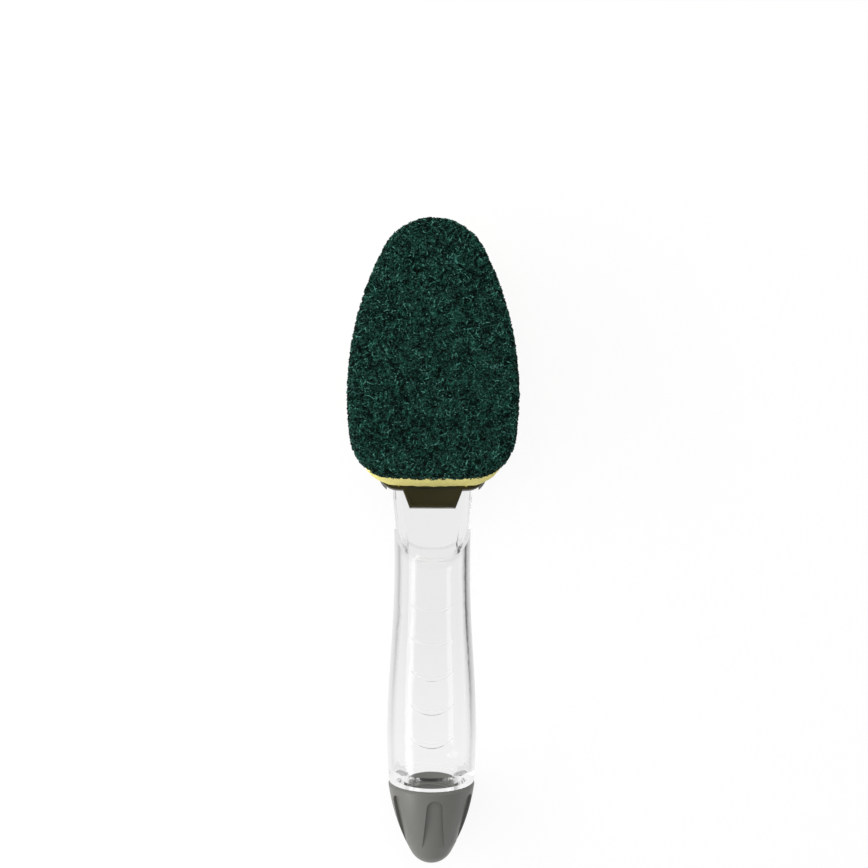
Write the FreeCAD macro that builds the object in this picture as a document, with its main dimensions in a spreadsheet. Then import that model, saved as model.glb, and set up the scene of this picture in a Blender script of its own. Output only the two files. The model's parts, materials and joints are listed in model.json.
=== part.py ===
"""Soap-filled dish wand: clear bottle handle with screw cap, sloping neck and a slide-on scrubbing head.

The pieces are drawn in two frames. In the handle frame +Y runs along the handle's axis towards the head,
y = 0 is the bottle's shoulder at the cap, and +Z is the scrubbing side. The head frame has its +Y along the
sloping head towards its tip and its +Z square out of the scrubbing face. At the end all of them are
turned together to the pose in which the wand lies on a table, on the cap's rim and the base's foot, and
are shifted so that the origin is at the middle of the wand's underside.
"""
import FreeCAD, Part
import math
import os

import Sketcher
from FreeCAD import Placement, Rotation, Vector

# Driving dimensions in millimetres, degrees or counts: name, value, meaning.
SIZES = [
    ("bottle_end_radius", 16.5, "handle radius at the shoulder beside the cap"),
    ("belly_radius", 17.25, "handle radius at its fattest"),
    ("belly_reach", 24.0, "shoulder to the fattest section"),
    ("taper_radius", 15.9, "handle radius half way down the taper"),
    ("taper_reach", 51.0, "shoulder to that section"),
    ("waist_radius", 14.7, "handle radius at the slim end"),
    ("waist_reach", 76.0, "shoulder to where the slim end begins"),
    ("rim_reach", 98.5, "shoulder to the peaks at the sides of the handle's rim"),
    ("rim_slope", 54.0, "angle between the axis and the rim, which slopes from the peaks to front and back"),
    ("bottle_wall", 2.0, "wall of the handle"),
    ("shoulder_thickness", 2.5, "solid floor of the bottle at its shoulder"),
    ("shoulder_flare", 2.5, "length of the cone from the floor to the full bore"),
    ("spout_radius", 10.6, "outer radius of the threaded spout"),
    ("spout_wall", 1.6, "wall of the spout"),
    ("spout_length", 8.5, "shoulder to the spout's lip"),
    ("thread_pitch", 3.2, "travel of the cap in one turn"),
    ("thread_height", 1.1, "height of the thread ridges"),
    ("thread_root", 1.2, "width of a ridge at its root"),
    ("thread_crest", 0.6, "width of a ridge at its crest"),
    ("thread_turns", 1.25, "length of each ridge in turns"),
    ("thread_inset", 1.3, "spout's lip to the middle of its first ridge"),
    ("thread_gap", 0.3, "clearance between the ridges and the wall they face"),
    ("grip_count", 5, "smile-shaped finger grooves on the scrubbing side"),
    ("grip_first", 17.0, "shoulder to the lowest point of the first groove"),
    ("grip_pitch", 12.75, "distance from groove to groove"),
    ("grip_width", 16.6, "width of a groove from tip to tip"),
    ("grip_bow", 3.6, "how far a groove's lower edge bows towards the cap"),
    ("grip_thickness", 1.7, "width of a groove at its middle"),
    ("grip_depth", 0.7, "depth of a groove"),
    ("cap_rim_radius", 16.8, "outer radius of the cap at its rim"),
    ("cap_bevel", 1.0, "bevel round the cap's rim"),
    ("cap_length", 32.6, "rim to tip of the cap"),
    ("cap_side_radius", 78.0, "radius of the cap's bowed flank"),
    ("cap_tip_radius", 9.0, "radius of the cap's nose"),
    ("cap_tip_wall", 3.0, "thickness of the cap's nose"),
    ("cap_core_radius", 7.6, "radius of the hollow in the cap's nose"),
    ("cap_core_nose", 3.0, "radius of that hollow at its far end"),
    ("cap_gap", 0.3, "gap between the cap's rim and the shoulder"),
    ("flute_count", 6, "flutes round the cap"),
    ("flute_start", 3.4, "rim to the top of a flute's arch"),
    ("flute_turn", 5.0, "turn of the first flute round the cap, away from the scrubbing side"),
    ("flute_length", 20.5, "length of a flute from its arch to where it runs out"),
    ("flute_arch", 3.0, "radius of a flute's arch"),
    ("flute_width", 8.4, "width of a flute where it runs out"),
    ("flute_depth", 1.0, "depth of a flute at its arch"),
    ("gasket_thickness", 1.2, "thickness of the cap's ring seal"),
    ("gasket_gap", 0.4, "clearance of the ring seal in the cap's bore"),
    ("head_angle", 18.0, "slope of the head against the handle"),
    ("neck_reach", 14.0, "peaks of the handle's rim to the head's lower end, along the axis"),
    ("head_drop", 3.0, "how far the head's back lies behind the axis there"),
    ("head_width", 65.0, "width of the sponge and pad"),
    ("head_length", 100.7, "length of the sponge and pad"),
    ("head_widest", 32.5, "lower end to the widest place"),
    ("head_tip_radius", 21.5, "radius of the head's tip"),
    ("head_corner_radius", 16.5, "radius of the head's lower corners"),
    ("head_end_radius", 260.0, "radius of the head's nearly flat lower end"),
    ("pad_thickness", 8.0, "thickness of the scouring pad"),
    ("pad_edge_radius", 2.0, "rounding of the pad's working edge"),
    ("sponge_thickness", 16.0, "thickness of the sponge"),
    ("glue_thickness", 0.3, "thickness of the glue films"),
    ("glue_margin", 1.5, "edge of a film to the edge of what it holds"),
    ("base_thickness", 8.0, "height of the base's skirt and plate"),
    ("base_plate", 2.5, "thickness of the base's plate"),
    ("base_skirt", 2.2, "thickness of the base's skirt"),
    ("base_margin", 6.5, "edge of the tongue's flanges to the side of the base"),
    ("base_inset", 8.5, "tip of the base to the tip of the sponge"),
    ("base_ledge", 1.0, "how far the base stands out past the sponge's lower end"),
    ("foot_length", 5.5, "length of the flat foot under the base's tip"),
    ("tip_block", 14.0, "length of the solid tip of the base"),
    ("tongue_width", 35.0, "width of the tongue's flanges"),
    ("tongue_length", 50.0, "head's lower end to the tongue's end"),
    ("tongue_start", 2.0, "head's lower end to where the flanges begin"),
    ("tongue_thickness", 3.0, "thickness of the flanges"),
    ("tongue_chamfer", 6.0, "cut corners at the tongue's end"),
    ("slide_gap", 0.3, "running clearance between tongue and base"),
    ("rail_wall", 1.6, "thickness of the rails' walls"),
    ("rail_start", 3.0, "head's lower end to where the rails begin"),
    ("tab_length", 6.6, "length of the thumb tab below the base"),
    ("tab_top", 22.6, "width of the thumb tab where it leaves the base"),
    ("tab_bottom", 17.6, "width of the thumb tab at its free end"),
    ("tab_frame", 0.9, "width of the raised frame round the tab's dish"),
    ("tab_dish_radius", 40.0, "radius of the ball that dishes the tab"),
    ("tab_dish_depth", 1.5, "depth of the dish at its middle"),
    ("rim_step", 0.6, "how far the neck lies inside the handle's outline"),
    ("plug_length", 5.0, "how far the neck plugs into the handle"),
    ("plug_wall", 2.0, "wall of the plug"),
    ("plug_gap", 0.2, "clearance of the plug in the handle"),
    ("neck_gap", 1.0, "room between the neck and the rails' lips"),
    ("neck_depth", 18.0, "depth of the neck there, from its flat face"),
    ("keel_taper", 2.9, "how much slimmer each side of the tongue's keel is at the valve than the neck"),
    ("keel_depth", 17.0, "depth of the keel there, from the tongue's face"),
    ("keel_end_width", 14.0, "width of the keel at its end"),
    ("keel_end_depth", 7.0, "depth of the keel at its end"),
    ("keel_end_inset", 4.0, "tongue's end to the keel's end"),
    ("neck_wall", 2.5, "wall of the hollow neck and keel"),
    ("neck_cover", 4.5, "plastic left between the neck's hollow and its flat face"),
    ("valve_reach", 25.0, "head's lower end to the valve"),
    ("valve_radius", 7.0, "radius of the valve's flange"),
    ("valve_flange", 1.2, "thickness of the valve's flange"),
    ("valve_skin", 0.8, "thickness of the valve's dome"),
    ("valve_dome_radius", 4.4, "radius of the valve's dome"),
    ("valve_dome_depth", 2.2, "depth of the valve's dome below its flange"),
    ("valve_slit", 0.3, "width of the crossed slits"),
    ("valve_slit_length", 4.0, "length of the crossed slits"),
    ("seat_gap", 0.15, "clearance round the valve and its retainer"),
    ("retainer_thickness", 1.4, "thickness of the ring that holds the valve"),
    ("window_radius", 5.5, "radius of the soap window in the base"),
]

doc = FreeCAD.newDocument("DishWand")
sheet = doc.addObject("Spreadsheet::Sheet", "Sizes")
for row, (name, value, meaning) in enumerate(SIZES, start=1):
    sheet.set(f"A{row}", name)
    sheet.set(f"B{row}", str(value))
    sheet.setAlias(f"B{row}", name)
    sheet.set(f"C{row}", meaning)
doc.recompute()


class Size:
    """A length, angle or count that keeps its value together with the sheet expression that gives it."""

    def __init__(self, value, text):
        self.value = value
        self.text = text

    def __add__(self, other):
        return joined(self, "+", other, self.value + sized(other).value)

    def __sub__(self, other):
        return joined(self, "-", other, self.value - sized(other).value)

    def __mul__(self, other):
        return joined(self, "*", other, self.value * sized(other).value)

    def __truediv__(self, other):
        return joined(self, "/", other, self.value / sized(other).value)

    def __neg__(self):
        return sized(0) - self

    def __rmul__(self, other):
        return sized(other) * self

    def __radd__(self, other):
        return sized(other) + self

    def __rsub__(self, other):
        return sized(other) - self


def sized(number):
    """A plain number as a Size; a Size stays as it is."""
    if isinstance(number, Size):
        return number
    return Size(float(number), repr(float(number)))


def joined(left, sign, right, value):
    """The Size that an arithmetic sign makes of two others."""
    return Size(value, f"({sized(left).text} {sign} {sized(right).text})")


def root(area):
    """The square root of a Size."""
    return Size(math.sqrt(area.value), f"sqrt({area.text})")


def sine(angle):
    """The sine of a Size in degrees."""
    return Size(math.sin(math.radians(angle.value)), f"sin({angle.text})")


def cosine(angle):
    """The cosine of a Size in degrees."""
    return Size(math.cos(math.radians(angle.value)), f"cos({angle.text})")


def tangent(angle):
    """The tangent of a Size in degrees."""
    return Size(math.tan(math.radians(angle.value)), f"tan({angle.text})")


class Sheet:
    """The spreadsheet's cells, each as a Size under its own name."""

    def __getattr__(self, alias):
        return Size(float(getattr(sheet, alias)), f"Sizes.{alias}")


size = Sheet()


def bind(thing, field, amount):
    """Sets a property of a document object and binds it to the sheet."""
    thing.setExpression(field, sized(amount).text)


def new_body(name):
    """An empty PartDesign body."""
    return doc.addObject("PartDesign::Body", name)


def new_sketch(body, plane, name, offset=0):
    """A sketch on one of a body's origin planes, moved along its normal unless it is placed later."""
    sketch = body.newObject("Sketcher::SketchObject", name)
    support = [item for item in body.Origin.OriginFeatures if item.Role == plane]
    sketch.AttachmentSupport = (support[0], "")
    sketch.MapMode = "FlatFace"
    if offset is not None:
        bind(sketch, "AttachmentOffset.Base.z", offset)
    return sketch


def pin_across(sketch, edge, end, amount, kind, axis):
    """Holds one end of an edge, or its centre, at a distance from one of the sketch's axes."""
    if amount.value == 0:
        sketch.addConstraint(Sketcher.Constraint("PointOnObject", edge, end, axis))
        return
    index = sketch.addConstraint(Sketcher.Constraint(kind, -1, 1, edge, end, amount.value))
    bind(sketch, f"Constraints[{index}]", amount)


def pin_height(sketch, edge, end, y):
    """Holds one end of an edge, or its centre, at a height in the sketch."""
    pin_across(sketch, edge, end, sized(y), "DistanceY", -1)


def pin(sketch, edge, end, x, y):
    """Holds one end of an edge, or its centre, at a place measured from the sketch's origin."""
    pin_across(sketch, edge, end, sized(x), "DistanceX", -2)
    pin_height(sketch, edge, end, y)


def set_radius(sketch, edge, radius):
    """Gives a circle or an arc its radius."""
    index = sketch.addConstraint(Sketcher.Constraint("Radius", edge, radius.value))
    bind(sketch, f"Constraints[{index}]", radius)


def draw_polygon(sketch, corners):
    """A closed outline of straight lines through corners."""
    places = [Vector(sized(x).value, sized(y).value, 0) for x, y in corners]
    count = len(places)
    first = sketch.GeometryCount
    for index in range(count):
        sketch.addGeometry(Part.LineSegment(places[index], places[(index + 1) % count]))
    for index in range(count):
        following = first + (index + 1) % count
        sketch.addConstraint(Sketcher.Constraint("Coincident", first + index, 2, following, 1))
    for index, (x, y) in enumerate(corners):
        pin(sketch, first + index, 1, x, y)


def draw_circle(sketch, radius, x=0, y=0):
    """A circle about a place."""
    centre = Vector(sized(x).value, sized(y).value, 0)
    edge = sketch.addGeometry(Part.Circle(centre, Vector(0, 0, 1), radius.value))
    pin(sketch, edge, 3, x, y)
    set_radius(sketch, edge, radius)


def arc_between(centre, start, end):
    """The arc about a centre that runs anticlockwise from one point to another."""
    radius = (start - centre).Length
    turns = [math.atan2((point - centre).y, (point - centre).x) for point in (start, end)]
    return Part.ArcOfCircle(Part.Circle(centre, Vector(0, 0, 1), radius), turns[0], turns[1])


def circle_meeting(first, first_radius, second, second_radius):
    """The lower of the two points at given distances from two centres."""
    between = second - first
    reach = between.Length
    along = (first_radius**2 - second_radius**2 + reach**2) / (2 * reach)
    across = math.sqrt(first_radius**2 - along**2)
    unit = between / reach
    side = Vector(unit.y, -unit.x, 0)
    choices = [first + unit * along + side * across, first + unit * along - side * across]
    return min(choices, key=lambda point: point.y)


def draw_teardrop(sketch, width, length, widest, tip, corner, end, start):
    """The head's outline: nearly flat lower end, round corners, bowed flanks and a round tip."""
    half = width / 2
    rise = length - tip - widest
    flank = (half * half + rise * rise - tip * tip) / (width - 2 * tip)
    end_centre = Vector(0, (start + end).value, 0)
    tip_centre = Vector(0, (start + length - tip).value, 0)
    flank_centre = Vector((half - flank).value, (start + widest).value, 0)
    corner_centre = circle_meeting(
        end_centre, (end - corner).value, flank_centre, (flank - corner).value
    )

    def far_point(centre, towards, radius):
        return centre + (towards - centre).normalize() * radius.value

    def mirrored(point):
        return Vector(-point.x, point.y, 0)

    low = far_point(end_centre, corner_centre, end)
    side = far_point(flank_centre, corner_centre, flank)
    high = far_point(flank_centre, tip_centre, flank)
    arcs = [
        (end_centre, mirrored(low), low, end),
        (corner_centre, low, side, corner),
        (flank_centre, side, high, flank),
        (tip_centre, high, mirrored(high), tip),
        (mirrored(flank_centre), mirrored(high), mirrored(side), flank),
        (mirrored(corner_centre), mirrored(side), mirrored(low), corner),
    ]
    for centre, begin, finish, radius in arcs:
        sketch.addGeometry(arc_between(centre, begin, finish))
    for index in range(len(arcs)):
        following = (index + 1) % len(arcs)
        sketch.addConstraint(Sketcher.Constraint("Tangent", index, 2, following, 1))
    for index, (centre, begin, finish, radius) in enumerate(arcs):
        set_radius(sketch, index, radius)
    pin(sketch, 0, 3, 0, start + end)
    pin(sketch, 3, 3, 0, start + length - tip)


def draw_segment(sketch, half, depth, top):
    """A round section with a flat top: a chord of a given half width, and the circle's arc below it."""
    radius = (half * half + depth * depth) / (2 * depth)
    centre = top - depth + radius
    left = Vector(-half.value, top.value, 0)
    right = Vector(half.value, top.value, 0)
    sketch.addGeometry(Part.LineSegment(right, left))
    sketch.addGeometry(arc_between(Vector(0, centre.value, 0), left, right))
    sketch.addConstraint(Sketcher.Constraint("Coincident", 0, 2, 1, 1))
    sketch.addConstraint(Sketcher.Constraint("Coincident", 1, 2, 0, 1))
    pin(sketch, 0, 1, half, top)
    pin(sketch, 0, 2, -half, top)
    pin_height(sketch, 1, 3, centre)


def add_feature(body, kind, name, sketch, **amounts):
    """A PartDesign feature made from a sketch, with its lengths bound to the sheet."""
    feature = body.newObject(f"PartDesign::{kind}", name)
    feature.Profile = sketch
    for field, amount in amounts.items():
        if isinstance(amount, bool):
            setattr(feature, field, amount)
        else:
            bind(feature, field, amount)
    doc.recompute()
    return feature


def add_turned(body, kind, name, sketch):
    """A full turn of a sketch about its own horizontal axis."""
    feature = body.newObject(f"PartDesign::{kind}", name)
    feature.Profile = sketch
    feature.ReferenceAxis = (sketch, ["H_Axis"])
    feature.Angle = 360
    doc.recompute()
    return feature


def add_thread(body, name, sketch):
    """A right-handed ridge: a sketch wound about its own horizontal axis."""
    feature = body.newObject("PartDesign::AdditiveHelix", name)
    feature.Profile = sketch
    feature.ReferenceAxis = (sketch, ["H_Axis"])
    feature.Mode = "pitch-turns-angle"
    bind(feature, "Pitch", size.thread_pitch)
    bind(feature, "Turns", size.thread_turns)
    doc.recompute()
    return feature


def new_solid(kind, name, place, **amounts):
    """A Part primitive with its sizes bound to the sheet."""
    solid = doc.addObject(f"Part::{kind}", name)
    for field, amount in amounts.items():
        bind(solid, field, amount)
    solid.Placement = place
    doc.recompute()
    return solid


def cut(name, base, tool):
    """What is left of one solid when another is taken out of it."""
    result = doc.addObject("Part::Cut", name)
    result.Base = base
    result.Tool = tool
    doc.recompute()
    return result


def shared(name, base, tool):
    """What two solids have in common."""
    result = doc.addObject("Part::Common", name)
    result.Base = base
    result.Tool = tool
    doc.recompute()
    return result


def fused(name, solids):
    """Several solids as one."""
    result = doc.addObject("Part::MultiFuse", name)
    result.Shapes = solids
    doc.recompute()
    return result


def turned_about_x(angle, y=0.0, z=0.0):
    """A placement that turns by an angle about X and moves in the wand's middle plane."""
    return Placement(Vector(0, y, z), Rotation(Vector(1, 0, 0), angle))


# Places that several pieces share.
head_reach = size.rim_reach + size.neck_reach
neck_width = size.tongue_width - 2 * (size.rail_wall + size.neck_gap)
keel_width = neck_width - 2 * size.keel_taper
HEAD_FRAME = turned_about_x(-size.head_angle.value, head_reach.value, -size.head_drop.value)
ALONG_AXIS = Rotation(Vector(1, 0, 0), -90)
tongue_top = size.base_thickness - size.base_plate - size.slide_gap
tongue_bottom = tongue_top - size.tongue_thickness
seat_floor = tongue_top - size.retainer_thickness - size.valve_flange - size.seat_gap
slot_top = tongue_top + size.slide_gap
sponge_bottom = size.base_thickness + size.glue_thickness
sponge_top = sponge_bottom + size.sponge_thickness
pad_bottom = sponge_top + size.glue_thickness
bore_radius = size.spout_radius + size.thread_height + size.thread_gap
lip = -size.spout_length
ledge = lip - size.gasket_thickness

# The rim's slopes are drawn this far past the axis, and fall back this far from the peaks.
rim_half = 1.3 * size.waist_radius
rim_lean = rim_half / tangent(size.rim_slope)
bottle_top = size.rim_reach + size.waist_radius

# The neck's flat face is the tongue's face carried on: its height, its slope and where it meets the rim.
flat_rise = tongue_top / cosine(size.head_angle) - size.head_drop
flat_lean = tangent(size.head_angle)
rim_lead = tangent(size.rim_slope)
flat_start = size.rim_reach * rim_lead - flat_lean * head_reach - flat_rise
flat_meeting = flat_start / (rim_lead - flat_lean)
neck_start = size.rim_reach - size.waist_radius / rim_lead - 1


def in_head(x, y, z):
    """A placement in the head frame, as a placement in the handle frame."""
    return HEAD_FRAME.multiply(Placement(Vector(x, y, z), Rotation()))


def loft_handle(body, kind, name, inset, first):
    """The handle's turned outline, or one inside it, as a loft through circles."""
    first_reach, first_radius = first
    stations = [
        (first_reach, first_radius),
        (size.belly_reach, size.belly_radius),
        (size.taper_reach, size.taper_radius),
        (size.waist_reach, size.waist_radius),
        ((size.waist_reach + bottle_top) / 2, size.waist_radius),
        (bottle_top, size.waist_radius),
    ]
    sections = []
    for index, (reach, radius) in enumerate(stations):
        section = new_sketch(body, "XZ_Plane", f"{name}Section{index}", -reach)
        draw_circle(section, radius - inset)
        sections.append(section)
    doc.recompute()
    loft = body.newObject(f"PartDesign::{kind}", name)
    loft.Profile = sections[0]
    loft.Sections = sections[1:]
    doc.recompute()
    return loft


def draw_ridge(sketch, middle, root_radius, crest_radius, sink):
    """A thread ridge's section, sunk a little into the wall that it stands on."""
    draw_polygon(
        sketch,
        [
            (middle - size.thread_root / 2, root_radius - sink),
            (middle - size.thread_root / 2, root_radius),
            (middle - size.thread_crest / 2, crest_radius),
            (middle + size.thread_crest / 2, crest_radius),
            (middle + size.thread_root / 2, root_radius),
            (middle + size.thread_root / 2, root_radius - sink),
        ],
    )


first_ridge = lip + size.thread_inset
ridge_sink = size.spout_wall / 4


def make_handle_bottle():
    """Clear bottle: lofted wall, thick shoulder, threaded spout, open peaked rim and finger grooves."""
    body = new_body("BottleBody")
    shoulder_flare_end = size.shoulder_thickness + size.shoulder_flare
    flare_radius = (size.bottle_end_radius + size.belly_radius) / 2
    loft_handle(body, "AdditiveLoft", "BottleWall", 0, (sized(0), size.bottle_end_radius))

    spout = new_sketch(body, "XZ_Plane", "SpoutSection")
    draw_circle(spout, size.spout_radius)
    add_feature(body, "Pad", "Spout", spout, Length=size.spout_length)

    loft_handle(
        body, "SubtractiveLoft", "Chamber", size.bottle_wall, (shoulder_flare_end, flare_radius)
    )
    mouth = new_sketch(body, "YZ_Plane", "MouthProfile")
    mouth_radius = size.spout_radius - size.spout_wall
    draw_polygon(
        mouth,
        [
            (lip, 0),
            (shoulder_flare_end, 0),
            (shoulder_flare_end, flare_radius - size.bottle_wall),
            (size.shoulder_thickness, mouth_radius),
            (lip, mouth_radius),
        ],
    )
    add_turned(body, "Groove", "Mouth", mouth)

    ridge = new_sketch(body, "YZ_Plane", "SpoutRidge")
    draw_ridge(ridge, first_ridge, size.spout_radius, size.spout_radius + size.thread_height, ridge_sink)
    add_thread(body, "SpoutThread", ridge)

    rim = new_sketch(body, "YZ_Plane", "RimCut")
    draw_polygon(
        rim,
        [
            (size.rim_reach - rim_lean, rim_half),
            (size.rim_reach, 0),
            (size.rim_reach - rim_lean, -rim_half),
            (bottle_top + 1, -rim_half),
            (bottle_top + 1, rim_half),
        ],
    )
    add_feature(body, "Pocket", "PeakedRim", rim, Length=4 * size.waist_radius, Midplane=True)

    floor = new_body("GrooveFloor")
    floor_start = (sized(0), size.bottle_end_radius)
    loft_handle(floor, "AdditiveLoft", "GrooveFloorWall", size.grip_depth, floor_start)
    grooves = doc.addObject("Part::Extrusion", "Grooves")
    grooves.Base = draw_grooves()
    grooves.DirMode = "Normal"
    grooves.Solid = True
    bind(grooves, "LengthFwd", 1.5 * size.belly_radius)
    doc.recompute()
    return cut("HandleBottle", body, cut("GripGrooves", grooves, floor))


def draw_grooves():
    """The finger grooves seen square on: crescents that bow towards the cap."""
    sketch = doc.addObject("Sketcher::SketchObject", "GrooveOutlines")
    half = size.grip_width / 2
    for number in range(int(size.grip_count.value)):
        tips = size.grip_first + number * size.grip_pitch + size.grip_bow
        left = Vector(-half.value, tips.value, 0)
        right = Vector(half.value, tips.value, 0)
        lower = sketch.GeometryCount
        for bow in (size.grip_bow, size.grip_bow - size.grip_thickness):
            radius = (half * half + bow * bow) / (2 * bow)
            centre = tips - bow + radius
            edge = sketch.addGeometry(arc_between(Vector(0, centre.value, 0), left, right))
            pin_height(sketch, edge, 3, centre)
        sketch.addConstraint(Sketcher.Constraint("Coincident", lower, 1, lower + 1, 1))
        sketch.addConstraint(Sketcher.Constraint("Coincident", lower, 2, lower + 1, 2))
        pin(sketch, lower, 1, -half, tips)
        pin(sketch, lower, 2, half, tips)
    doc.recompute()
    return sketch


def make_mount_neck():
    """Clear neck: plug in the peaked rim, flat face, and a flanged tongue that runs on under the head."""
    keel = [
        (-size.tongue_start, neck_width, size.neck_depth),
        (size.valve_reach, keel_width, size.keel_depth),
        (size.tongue_length - size.keel_end_inset, size.keel_end_width, size.keel_end_depth),
    ]
    body = loft_neck("Neck", neck_start, size.waist_radius - size.rim_step, sized(0), keel)

    behind_rim = new_chevron("BehindRim", 4 * size.waist_radius)
    plug_slab = new_chevron("PlugSlab", size.plug_length)
    plug_outer = size.waist_radius - size.bottle_wall - size.plug_gap
    plug_inner = plug_outer - size.plug_wall
    plug_end = flat_meeting - size.neck_cover
    plug_rod = new_rod("PlugRod", plug_outer, sized(0), bottle_top)
    plug_bore = new_rod("PlugBore", plug_inner, sized(0), plug_end)
    inside = [
        (-size.tongue_start, *shrunk(neck_width, size.neck_depth, 1)),
        (size.valve_reach, *shrunk(keel_width, size.keel_depth, 1)),
        (
            size.valve_reach + size.valve_dome_radius + size.neck_wall,
            *shrunk(keel_width, size.keel_depth, 2),
        ),
    ]
    hollow = loft_neck("NeckHollow", plug_end - 1, plug_inner, size.neck_cover, inside)
    flange = doc.addObject("Part::Extrusion", "TongueFlange")
    flange.Base = draw_flange()
    flange.DirMode = "Normal"
    flange.Solid = True
    bind(flange, "LengthFwd", size.tongue_thickness)
    flange.Placement = in_head(0, 0, 0)
    doc.recompute()
    whole = fused(
        "NeckWhole",
        [cut("NeckAboveRim", body, behind_rim), shared("Plug", plug_rod, plug_slab), flange],
    )
    hollows = fused("NeckHollows", [plug_bore, hollow, *valve_hollows()])
    return cut("MountNeck", whole, hollows)


def new_chevron(name, depth):
    """A wide block with the shape of the handle's rim that runs from it towards the cap."""
    body = new_body(name)
    section = new_sketch(body, "YZ_Plane", f"{name}Section")
    draw_polygon(
        section,
        [
            (size.rim_reach - rim_lean, rim_half),
            (size.rim_reach, 0),
            (size.rim_reach - rim_lean, -rim_half),
            (size.rim_reach - rim_lean - depth, -rim_half),
            (size.rim_reach - depth, 0),
            (size.rim_reach - rim_lean - depth, rim_half),
        ],
    )
    add_feature(body, "Pad", f"{name}Block", section, Length=4 * size.waist_radius, Midplane=True)
    return body


def new_rod(name, radius, start, end):
    """A round rod on the handle's axis."""
    place = Placement(Vector(0, start.value, 0), ALONG_AXIS)
    return new_solid("Cylinder", name, place, Radius=radius, Height=end - start)


def draw_flange():
    """The tongue's flanges seen from the front, with cut corners at their end."""
    sketch = doc.addObject("Sketcher::SketchObject", "FlangeOutline")
    sketch.Placement = Placement(Vector(0, 0, tongue_bottom.value), Rotation())
    bind(sketch, "Placement.Base.z", tongue_bottom)
    half = size.tongue_width / 2
    corner = size.tongue_length - size.tongue_chamfer
    draw_polygon(
        sketch,
        [
            (-half, size.tongue_start),
            (half, size.tongue_start),
            (half, corner),
            (half - size.tongue_chamfer, size.tongue_length),
            (-half + size.tongue_chamfer, size.tongue_length),
            (-half, corner),
        ],
    )
    doc.recompute()
    return sketch


def loft_neck(name, start, radius, cover, keel):
    """The neck's D-shaped outside, or its hollow, whose flat top lies a cover below the flat face."""
    body = new_body(f"{name}Body")
    sections = []
    for index, station in enumerate((start, size.rim_reach)):
        top = flat_rise + flat_lean * (head_reach - station) - cover
        section = new_sketch(body, "XZ_Plane", f"{name}Section{index}", -station)
        draw_segment(section, root(radius * radius - top * top), top + radius, top)
        sections.append(section)
    for index, (reach, width, depth) in enumerate(keel):
        section = new_sketch(body, "XZ_Plane", f"{name}KeelSection{index}")
        lean_to_head(section, reach)
        draw_segment(section, width / 2, depth, tongue_top - cover)
        sections.append(section)
    doc.recompute()
    loft = body.newObject("PartDesign::AdditiveLoft", f"{name}Loft")
    loft.Profile = sections[0]
    loft.Sections = sections[1:]
    doc.recompute()
    return body


def shrunk(width, depth, walls):
    """The width and depth of the hollow in a section of the neck, some walls inside it."""
    return width - 2 * walls * size.neck_wall, depth - size.neck_cover - walls * size.neck_wall


def valve_hollows():
    """The valve's seat in the tongue, and the well that opens from it into the neck's hollow."""
    level = tongue_top - size.neck_cover - 1
    seat_place = in_head(0, size.valve_reach.value, seat_floor.value)
    well_place = in_head(0, size.valve_reach.value, level.value)
    well_radius = size.valve_dome_radius + 2 * size.seat_gap
    seat_height = 2 * (tongue_top - seat_floor)
    seat_radius = size.valve_radius + size.seat_gap
    return [
        new_solid("Cylinder", "ValveSeat", seat_place, Radius=seat_radius, Height=seat_height),
        new_solid("Cylinder", "ValveWell", well_place, Radius=well_radius, Height=seat_floor - level + 1),
    ]


def lean_to_head(sketch, reach):
    """Takes a sketch on the handle's cross plane to a cross plane of the head frame."""
    sketch.AttachmentOffset = Placement(Vector(), Rotation(Vector(-1, 0, 0), size.head_angle.value))
    bind(sketch, "AttachmentOffset.Rotation.Angle", size.head_angle)
    bind(sketch, "AttachmentOffset.Base.y", -size.head_drop - reach * sine(size.head_angle))
    bind(sketch, "AttachmentOffset.Base.z", -head_reach - reach * cosine(size.head_angle))


def make_dispensing_valve():
    """Silicone valve: a flat flange and a dome that hangs into the soap, crossed by two slits."""
    body = new_body("DispensingValve")
    profile = new_sketch(body, "YZ_Plane", "ValveProfile")
    bend = size.valve_dome_radius - size.valve_dome_depth
    draw_polygon(
        profile,
        [
            (0, size.valve_radius),
            (size.valve_flange, size.valve_radius),
            (size.valve_flange, size.valve_dome_radius - size.valve_skin),
            (size.valve_flange - size.valve_dome_depth, bend - size.valve_skin / 2),
            (size.valve_flange - size.valve_dome_depth, 0),
            (-size.valve_dome_depth, 0),
            (-size.valve_dome_depth, bend),
            (-size.valve_skin / 2, size.valve_dome_radius),
            (0, size.valve_dome_radius),
        ],
    )
    add_turned(body, "Revolution", "ValveTurned", profile)
    slits = new_sketch(body, "XZ_Plane", "ValveSlits")
    arm = size.valve_slit_length / 2
    gap = size.valve_slit / 2
    draw_polygon(
        slits,
        [
            (gap, gap), (arm, gap), (arm, -gap), (gap, -gap), (gap, -arm), (-gap, -arm),
            (-gap, -gap), (-arm, -gap), (-arm, gap), (-gap, gap), (-gap, arm), (gap, arm),
        ],
    )
    add_feature(body, "Pocket", "ValveSlitCut", slits, Length=4 * size.valve_dome_depth, Midplane=True)
    return body


def make_valve_retainer():
    """Ring pressed into the seat over the valve's flange."""
    body = new_body("ValveRetainer")
    ring = new_sketch(body, "XY_Plane", "RetainerRing")
    draw_circle(ring, size.valve_radius)
    draw_circle(ring, size.valve_dome_radius)
    add_feature(body, "Pad", "RetainerPad", ring, Length=size.retainer_thickness)
    return body


def head_outline(sketch, inset):
    """The sponge's and pad's outline, or one inside it."""
    draw_teardrop(
        sketch,
        size.head_width - 2 * inset,
        size.head_length - 2 * inset,
        size.head_widest - inset,
        size.head_tip_radius - inset,
        size.head_corner_radius - inset,
        size.head_end_radius - inset,
        sized(inset),
    )


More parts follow.
